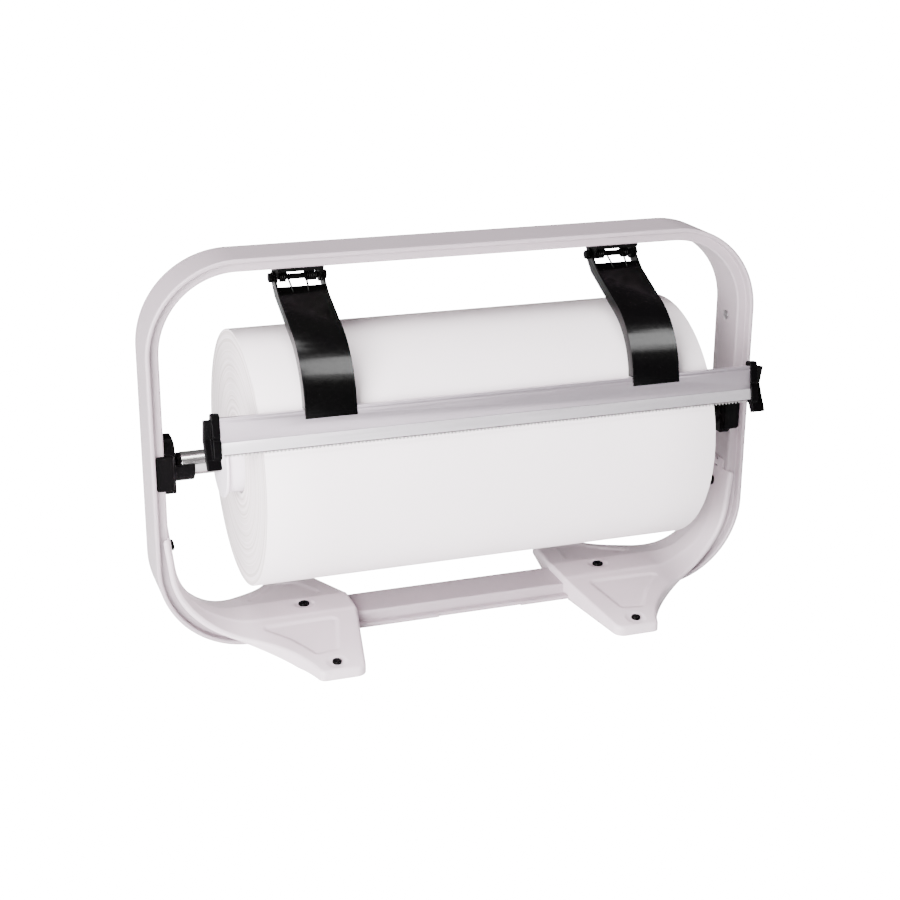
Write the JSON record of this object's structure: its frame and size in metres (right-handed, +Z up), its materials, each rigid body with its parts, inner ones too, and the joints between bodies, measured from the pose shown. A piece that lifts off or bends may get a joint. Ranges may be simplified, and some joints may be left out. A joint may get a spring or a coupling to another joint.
{
  "type": "gift wrap paper cutter",
  "caption": "Counter stand that holds a wide gift wrap roll in a hoop frame, with a sprung serrated tear-off cutter lying on the roll.",
  "frame": {"origin": "On the counter, under the middle of the hoop: the bottom of the rubber pads, mid-length, in the plane through the roll's axis.", "axes": "+X along the roll to the clerk's right, -Y towards the clerk (the cutter's side), +Z up."},
  "size_m": [0.6948, 0.2772, 0.4376],
  "materials": {
    "hoop_paint": "satin",
    "foot_paint": "satin",
    "pad_rubber": "matte",
    "plated_steel": "satin",
    "black_plastic": "satin",
    "paper": "matte",
    "core_board": "matte",
    "shaft_steel": "satin",
    "hub_plastic": "satin",
    "black_steel": "satin",
    "arm_gloss": "gloss",
    "rail_aluminium": "satin",
    "blade_steel": "satin"
  },
  "bodies": {
    "stand": {"frame_hoop": "hoop_paint", "left_foot": "foot_paint", "right_foot": "foot_paint", "foot_pads": "pad_rubber", "toe_screws": "black_steel", "spine_screws": "black_steel", "tail_screws": "black_steel", "upright_rivets": "plated_steel", "left_shaft_bracket": "black_plastic", "right_shaft_bracket": "black_plastic", "left_hinge_bracket": "black_steel", "right_hinge_bracket": "black_steel", "hinge_bracket_screws": "black_steel", "left_hinge_pin": "black_steel", "right_hinge_pin": "black_steel", "hinge_nuts": "black_steel", "torsion_springs": "black_steel"},
    "roll": {"paper_roll": "paper", "roll_core": "core_board", "shaft_tube": "shaft_steel", "left_hub": "hub_plastic", "right_hub": "hub_plastic", "left_end_plug": "black_plastic", "right_end_plug": "black_plastic"},
    "cutter": {"left_arm": "arm_gloss", "right_arm": "arm_gloss", "arm_screws": "plated_steel", "cutter_rail": "rail_aluminium", "serrated_blade": "blade_steel", "left_end_cap": "black_plastic", "right_end_cap": "black_plastic"}
  },
  "joints": [
    {"name": "roll_spin", "type": "hinge", "parent": "stand", "child": "roll", "pos_m": [0, 0, 0.214], "axis": [1, 0, 0], "continuous": true},
    {"name": "cutter_swing", "type": "hinge", "parent": "stand", "child": "cutter", "pos_m": [0, 0, 0.4083], "axis": [-1, 0, 0], "range_deg": [0, 50], "stiffness_Nm_per_rad": 1.5, "springref_deg": -57.3, "deforming": ["torsion_springs"]}
  ]
}
